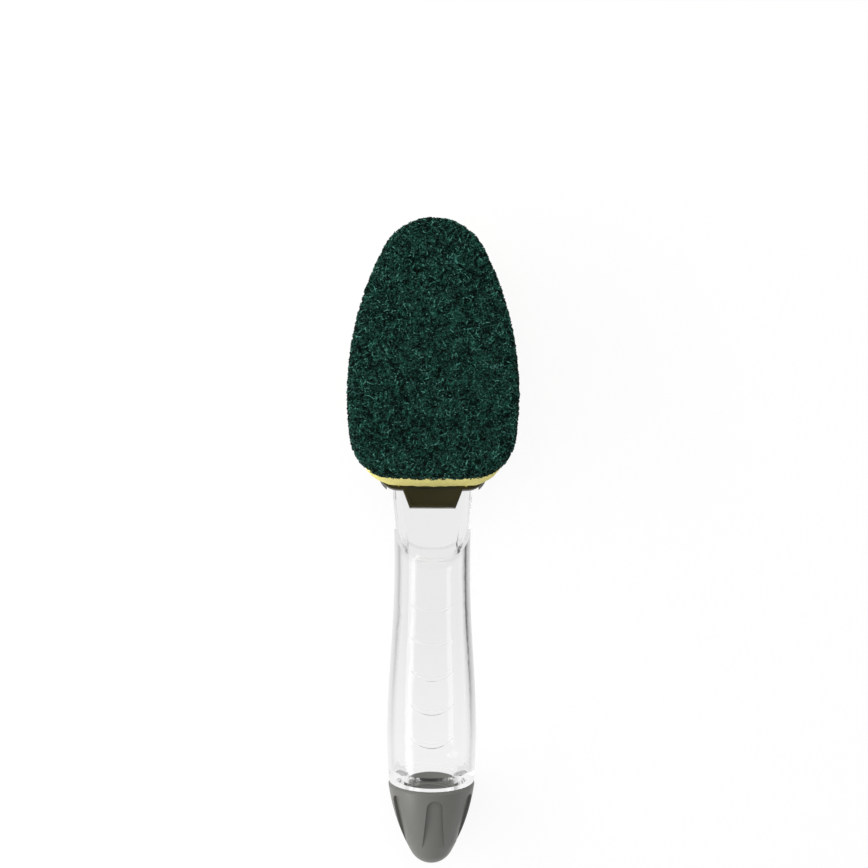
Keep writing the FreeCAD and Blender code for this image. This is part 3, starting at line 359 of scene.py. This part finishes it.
def hot_melt_glue(shade):
    """Hot-melt glue, pressed thin: cloudy amber with a wet shine."""
    material, tree, place = new_material("hot_melt_glue")
    # Streaks about 4 mm apart are left by the glue nozzle.
    streak = noise(tree, place, scale=250.0, detail=2.0)
    dark = [v * 0.85 for v in shade]
    glue = add_node(tree, "ShaderNodeBsdfPrincipled", {
        "Base Color": mix_colours(tree, streak, opaque(dark), opaque(shade)), "Roughness": 0.35, "IOR": 1.48,
        "Transmission Weight": 0.25})
    return surface(material, glue.outputs["BSDF"])


def cellulose_sponge(light, shade):
    """Regenerated cellulose, foamed: dull, dry yellow, with painted shade in its pores and hollows."""
    material, tree, place = new_material("cellulose_sponge")
    # Painted shade: hollows, found from the bend of the surface, are painted darker and ridges lighter.
    hollow = add_node(tree, "ShaderNodeNewGeometry")
    depth = map_range(tree, hollow.outputs["Pointiness"], (0.42, 0.53))
    # Cells of about 0.6 mm, too small for the mesh, are drawn as bumps and painted shade at each cell's
    # middle.
    cells = add_node(tree, "ShaderNodeTexVoronoi", {"Vector": place, "Scale": 1600.0})
    pore_relief_and_shade = map_range(tree, cells.outputs["Distance"], (0.1, 0.6), (0.45, 1.0))
    tone = reckon(tree, "MULTIPLY", depth, pore_relief_and_shade)
    foam = add_node(tree, "ShaderNodeBsdfPrincipled", {
        "Base Color": mix_colours(tree, tone, opaque(shade), opaque(light)), "Roughness": 0.9, "IOR": 1.45,
        "Specular IOR Level": 0.25, "Normal": bump(tree, pore_relief_and_shade, strength=0.5, distance=0.0002)})
    return surface(material, foam.outputs["BSDF"])


def scouring_web(settings, name, cover, brightness):
    """Nonwoven nylon web bonded with resin and grit: dark green and dull, flecked with grit."""
    material, tree, place = new_material(name)
    # Tufts are about 2.5 mm across. Grit of 0.2 mm is drawn as flecks of about 0.7 mm, so that it shows.
    tuft_shade = noise(tree, place, scale=400.0, detail=3.0)
    fleck = noise(tree, place, scale=1400.0, detail=2.0)
    # Painted shade: where the tuft noise is low, the web is painted the near-black green that stands for the
    # shade between the fibres.
    web = mix_colours(
        tree, map_range(tree, tuft_shade, (0.35, 0.65)), opaque(settings.pad_painted_shade), opaque(settings.pad_colour))
    grit = map_range(tree, fleck, (0.46, 0.66), (0.0, cover))
    flecked = mix_colours(tree, grit, web, opaque(settings.pad_light))
    dyed = add_node(tree, "ShaderNodeHueSaturation", {"Color": flecked, "Value": brightness})
    nylon = add_node(tree, "ShaderNodeBsdfPrincipled", {
        "Base Color": dyed.outputs["Color"], "Roughness": 0.6, "IOR": 1.53, "Specular IOR Level": 0.05,
        "Normal": bump(tree, fleck, strength=0.6, distance=0.0001)})
    return surface(material, nylon.outputs["BSDF"])


def studio_floor(settings):
    """Matt white paper with a soft shadow: it partly shows plain white, and the plastic sees painted grey
    strips on it.
    """
    material, tree, place = new_material("studio_floor")
    parts = add_node(tree, "ShaderNodeSeparateXYZ", {"Vector": place})
    across, along = parts.outputs["X"], parts.outputs["Y"]
    # Painted shade: grey strips beside the wand, which only the plastic sees, paint dark reflections into the
    # clear walls' edges. They fade towards the cap, where the paper that the plastic sees is painted lighter
    # too.
    glow = settings.floor_glow_through
    left_shade_level = map_range(tree, along, PAINTED_SHADE_FADE, (LEFT_SHADE_FADED, settings.left_painted_shade))
    right_shade_level = map_range(tree, along, PAINTED_SHADE_FADE, (RIGHT_SHADE_FADED, settings.right_painted_shade))
    painted_paper_light = map_range(tree, along, PAINTED_SHADE_FADE, (0.5 + 0.5 * glow, glow))
    left = map_range(tree, across, LEFT_PAINTED_SHADE_EDGE, (left_shade_level, 1.0))
    right = map_range(tree, across, RIGHT_PAINTED_SHADE_EDGE, (1.0, right_shade_level))
    # Further out the painted shade ends and the paper is white, so low views see white through the plastic.
    beyond = map_range(tree, reckon(tree, "ABSOLUTE", across), PAINTED_SHADE_END)
    card_painted_shade = reckon(tree, "MAXIMUM", reckon(tree, "MULTIPLY", left, right), beyond)
    through = reckon(tree, "MULTIPLY", card_painted_shade, painted_paper_light)
    path = add_node(tree, "ShaderNodeLightPath").outputs
    level = add_node(tree, "ShaderNodeMix", {"Factor": path["Is Camera Ray"], "A": through, "B": 1.0})
    by_plastic = reckon(tree, "MAXIMUM", path["Is Glossy Ray"], path["Is Transmission Ray"])
    by_camera = reckon(tree, "MULTIPLY", path["Is Camera Ray"], settings.floor_glow)
    paper = add_node(tree, "ShaderNodeBsdfDiffuse", {"Color": opaque(settings.floor_colour)})
    white = add_node(tree, "ShaderNodeEmission", {"Strength": level.outputs["Result"]})
    share = reckon(tree, "MAXIMUM", by_camera, by_plastic)
    return surface(material, mix_shaders(tree, share, paper.outputs["BSDF"], white.outputs["Emission"]))


def studio_world(settings):
    """White light from all round, less from above and from the right."""
    world = bpy.data.worlds.new("studio")
    world.use_nodes = True
    tree = world.node_tree
    tree.nodes.clear()
    facing = add_node(tree, "ShaderNodeTexCoord").outputs["Generated"]
    parts = add_node(tree, "ShaderNodeSeparateXYZ", {"Vector": facing})
    level = map_range(tree, parts.outputs["Z"], CEILING_EDGE, (settings.walls, settings.ceiling))
    side = map_range(tree, parts.outputs["X"], (-1.0, 1.0), (1.0, settings.right_share))
    light = add_node(tree, "ShaderNodeBackground", {
        "Color": (1.0, 1.0, 1.0, 1.0), "Strength": reckon(tree, "MULTIPLY", level, side)})
    add_node(tree, "ShaderNodeOutputWorld", {"Surface": light.outputs["Background"]})
    return world


def dress(material, slot, *names):
    """Gives CAD nodes a finish."""
    for name in names:
        node = frame["nodes"][name]
        for place in node.material_slots:
            place.material = material


def select_only(piece):
    """Makes one piece the selected and active one."""
    bpy.ops.object.select_all(action="DESELECT")
    bpy.context.view_layer.objects.active = piece
    piece.select_set(True)


def apply_modifier(piece, kind, **settings):
    """Adds a modifier to a piece and applies it."""
    modifier = piece.modifiers.new(kind.title(), kind)
    for name, value in settings.items():
        setattr(modifier, name, value)
    bpy.ops.object.modifier_apply(modifier=modifier.name)


def soft_skin(name, node_name, grain, share):
    """A copy of a soft solid as one closed skin of small even faces, narrowed to a share, and active."""
    skin = bpy.data.objects.new(name, frame["nodes"][node_name].data.copy())
    skin.data.name = name
    bpy.context.collection.objects.link(skin)
    select_only(skin)
    bpy.ops.mesh.customdata_custom_splitnormals_clear()
    bpy.ops.object.mode_set(mode="EDIT")
    bpy.ops.mesh.select_all(action="SELECT")
    bpy.ops.mesh.remove_doubles(threshold=0.000002)
    bpy.ops.object.mode_set(mode="OBJECT")
    apply_modifier(skin, "REMESH", mode="VOXEL", voxel_size=grain, use_smooth_shade=True)
    skin.data.transform(Matrix.Diagonal((share, 1.0, 1.0, 1.0)))
    return skin


def roughen(skin, kind, spacing, depth, level, **settings):
    """Pushes a skin in and out by a solid texture whose features are spacing apart."""
    texture = bpy.data.textures.new(skin.name + "_" + kind.lower(), kind)
    texture.noise_scale = spacing
    for name, value in settings.items():
        setattr(texture, name, value)
    apply_modifier(skin, "DISPLACE", texture=texture, texture_coords="LOCAL", strength=depth, mid_level=level)


def lay_fibres(name, core, tones, slopes, count, settings, seed):
    """Curly fibres over the part of a core whose slope to the pad's facing lies between two values."""
    dice = random.Random(seed)
    nearest = BVHTree.FromPolygons(
        [v.co for v in core.data.vertices], [tuple(p.vertices) for p in core.data.polygons])
    starts = [p for p in core.data.polygons if slopes[0] < p.normal.dot(PAD_FACING) <= slopes[1]]
    line = bpy.data.curves.new(name, "CURVE")
    line.dimensions = "3D"
    line.bevel_depth = settings.fibre_thickness / 2
    line.bevel_resolution = 0
    for tone in tones:
        line.materials.append(tone)
    for _ in range(count):
        place = dice.choice(starts).center
        heading = Vector((dice.gauss(0, 1), dice.gauss(0, 1), dice.gauss(0, 1)))
        stride = settings.fibre_length * dice.uniform(*LENGTH_SHARES) / FIBRE_STEPS
        bend = dice.gauss(0, CURL)
        spline = line.splines.new("POLY")
        spline.material_index = dice.choice(TONE_DRAW)
        spline.points.add(FIBRE_STEPS)
        for point in spline.points:
            near, slope, _, _ = nearest.find_nearest(place)
            heading = (heading - slope * heading.dot(slope)).normalized()
            lift = dice.uniform(*LIFT_SHARES) * settings.fibre_thickness
            point.co = (*(near + slope * lift), 1.0)
            point.radius = dice.uniform(*THICKNESS_SHARES)
            turn = bend + dice.gauss(0, KINK)
            heading = heading * math.cos(turn) + slope.cross(heading) * math.sin(turn)
            place = near + heading * stride
    web = bpy.data.objects.new(name, line)
    bpy.context.collection.objects.link(web)
    select_only(web)
    bpy.ops.object.convert(target="MESH")
    bpy.ops.object.shade_smooth()
    return bpy.context.view_layer.objects.active


def hang_lamp(name, power, place, aim, width, height):
    """A flat soft lamp that faces a point."""
    facing = (Vector(aim) - Vector(place)).to_track_quat("-Z", "Y").to_euler()
    bpy.ops.object.light_add(type="AREA", location=place, rotation=facing)
    lamp = bpy.context.object
    lamp.name = name
    lamp.data.shape = "RECTANGLE"
    lamp.data.size = width
    lamp.data.size_y = height
    lamp.data.energy = power
    lamp.visible_camera = False
    return lamp


class DISHWAND_OT_stage(bpy.types.Operator):
    """Lays the floor, hangs the lamps and sets the camera over the wand"""

    bl_idname = "dish_wand.stage"
    bl_label = "Stage"

    def execute(self, context):
        settings = context.scene.wand_stage
        context.scene.view_settings.view_transform = "Standard"
        context.scene.world = studio_world(settings)
        bpy.ops.object.select_all(action="DESELECT")
        bpy.ops.mesh.primitive_circle_add(vertices=128, radius=settings.floor_radius, fill_type="NGON")
        floor = context.object
        floor.name = "floor"
        floor.data.materials.append(studio_floor(settings))

        hang_lamp("key_lamp", settings.key_power, **KEY_LAMP)
        top = hang_lamp("top_lamp", settings.top_power, **TOP_LAMP)
        # The overhead lamp leaves no glare on the clear walls.
        top.visible_glossy = False
        top.visible_transmission = False

        bpy.ops.object.camera_add(
            location=(*CAMERA_OVER, settings.camera_height), rotation=(0.0, 0.0, CAMERA_TURN))
        camera = context.object
        camera.name = "camera"
        camera.data.lens = settings.camera_lens
        camera.data.sensor_width = SENSOR_WIDTH
        camera.data.clip_start = NEAREST_SEEN
        context.scene.camera = camera
        return {"FINISHED"}


class DISHWAND_OT_clear_pieces(bpy.types.Operator):
    """Finishes the handle and the neck in clear plastic"""

    bl_idname = "dish_wand.clear_pieces"
    bl_label = "Handle and Neck"

    def execute(self, context):
        settings = context.scene.wand_plastics
        tint, glow = settings.clear_tint, settings.clear_painted_glow
        handle = clear_styrene("clear_styrene_handle", tint, glow, settings.handle_ior)
        neck = clear_styrene("clear_styrene_neck", tint, glow, settings.neck_ior)
        dress(handle, "clear_plastic", "handle_bottle")
        dress(neck, "clear_plastic", "mount_neck")
        return {"FINISHED"}


class DISHWAND_OT_valve(bpy.types.Operator):
    """Finishes the slit valve and the ring that holds it"""

    bl_idname = "dish_wand.valve"
    bl_label = "Valve"

    def execute(self, context):
        settings = context.scene.wand_plastics
        dress(cast_silicone(settings.silicone_tint), "clear_silicone", "dispensing_valve")
        ring = moulded_plastic(
            "white_polypropylene", settings.retainer_colour, roughness=0.38, ior=1.49, grain=0.0003,
            mottle=0.03)
        dress(ring, "white_plastic", "valve_retainer")
        return {"FINISHED"}


class DISHWAND_OT_refill_base(bpy.types.Operator):
    """Finishes the refill's base and thumb tab"""

    bl_idname = "dish_wand.refill_base"
    bl_label = "Refill Base"

    def execute(self, context):
        settings = context.scene.wand_plastics
        olive = moulded_plastic(
            "olive_abs", settings.base_colour, roughness=0.35, ior=1.53, grain=0.0003, mottle=0.08,
            shine=0.35)
        dress(olive, "olive_plastic", "refill_base")
        return {"FINISHED"}


class DISHWAND_OT_glue(bpy.types.Operator):
    """Finishes the glue under the sponge and under the pad"""

    bl_idname = "dish_wand.glue"
    bl_label = "Glue"

    def execute(self, context):
        dress(hot_melt_glue(context.scene.wand_plastics.glue_colour), "glue", "base_glue", "pad_glue")
        return {"FINISHED"}


class DISHWAND_OT_sponge(bpy.types.Operator):
    """Makes the porous yellow sponge"""

    bl_idname = "dish_wand.sponge"
    bl_label = "Sponge"

    def execute(self, context):
        settings = context.scene.wand_head
        sponge = soft_skin("cellulose_sponge", "sponge", settings.sponge_grain, settings.sponge_share)
        roughen(sponge, "CLOUDS", settings.swell_spacing, settings.swell_depth, level=1.0)
        roughen(sponge, "VORONOI", settings.pore_spacing, settings.pore_depth, level=1.0)
        sponge.data.materials.clear()
        sponge.data.materials.append(cellulose_sponge(settings.sponge_colour, settings.sponge_painted_shade))
        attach(sponge, "head")
        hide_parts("sponge")
        return {"FINISHED"}


class DISHWAND_OT_scouring_pad(bpy.types.Operator):
    """Makes the scouring pad: a matted core and the loose fibres over it"""

    bl_idname = "dish_wand.scouring_pad"
    bl_label = "Scouring Pad"

    def execute(self, context):
        settings = context.scene.wand_head
        core = soft_skin("scouring_core", "scouring_pad", settings.pad_grain, settings.pad_share)
        roughen(core, "CLOUDS", settings.tuft_spacing, settings.tuft_depth, level=0.6, noise_depth=2)
        core.data.materials.clear()
        core.data.materials.append(scouring_web(settings, *CORE_TONE))
        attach(core, "head")
        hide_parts("scouring_pad")
        tones = [scouring_web(settings, *tone) for tone in FIBRE_TONES]
        face = lay_fibres(
            "scouring_fibres_face", core, tones, (FACE_SLOPE, 1.0), settings.face_fibres, settings, FACE_SEED)
        sides = lay_fibres(
            "scouring_fibres_sides", core, tones, (SIDE_SLOPE, FACE_SLOPE), settings.side_fibres, settings,
            SIDE_SEED)
        for web in (face, sides):
            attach(web, "head")
        return {"FINISHED"}


class DISHWAND_OT_end_cap(bpy.types.Operator):
    """Finishes the screw cap"""

    bl_idname = "dish_wand.end_cap"
    bl_label = "End Cap"

    def execute(self, context):
        settings = context.scene.wand_plastics
        grey = moulded_plastic(
            "grey_polypropylene", settings.cap_colour, roughness=0.36, ior=1.49, grain=0.0003, mottle=0.04)
        dress(grey, "grey_plastic", "end_cap")
        return {"FINISHED"}


class DISHWAND_OT_cap_gasket(bpy.types.Operator):
    """Finishes the seal in the cap"""

    bl_idname = "dish_wand.cap_gasket"
    bl_label = "Cap Gasket"

    def execute(self, context):
        settings = context.scene.wand_plastics
        rubber = moulded_plastic(
            "grey_rubber", settings.gasket_grey_and_painted_light, roughness=0.6, ior=1.52, grain=0.0004, mottle=0.06)
        dress(rubber, "grey_rubber", "cap_gasket")
        return {"FINISHED"}


class DISHWAND_PT_panel(bpy.types.Panel):
    """Lists the wand's pieces"""

    bl_idname = "DISHWAND_PT_panel"
    bl_label = "Dish Wand"
    bl_space_type = "VIEW_3D"
    bl_region_type = "UI"
    bl_category = "Dish Wand"

    def draw(self, context):
        for operator in PIECES:
            self.layout.operator(operator.bl_idname)


PIECES = (
    DISHWAND_OT_stage,
    DISHWAND_OT_clear_pieces,
    DISHWAND_OT_valve,
    DISHWAND_OT_refill_base,
    DISHWAND_OT_glue,
    DISHWAND_OT_sponge,
    DISHWAND_OT_scouring_pad,
    DISHWAND_OT_end_cap,
    DISHWAND_OT_cap_gasket,
)
SETTINGS = (StageSettings, PlasticSettings, HeadSettings)
CLASSES = (*SETTINGS, *PIECES, DISHWAND_PT_panel)


def register():
    for kind in CLASSES:
        bpy.utils.register_class(kind)
    bpy.types.Scene.wand_stage = PointerProperty(type=StageSettings)
    bpy.types.Scene.wand_plastics = PointerProperty(type=PlasticSettings)
    bpy.types.Scene.wand_head = PointerProperty(type=HeadSettings)


def unregister():
    del bpy.types.Scene.wand_head
    del bpy.types.Scene.wand_plastics
    del bpy.types.Scene.wand_stage
    for kind in reversed(CLASSES):
        bpy.utils.unregister_class(kind)


def main():
    register()
    bpy.ops.dish_wand.stage()
    bpy.ops.dish_wand.clear_pieces()
    bpy.ops.dish_wand.valve()
    bpy.ops.dish_wand.refill_base()
    bpy.ops.dish_wand.glue()
    bpy.ops.dish_wand.sponge()
    bpy.ops.dish_wand.scouring_pad()
    bpy.ops.dish_wand.end_cap()
    bpy.ops.dish_wand.cap_gasket()


if __name__ == "__main__":
    main()
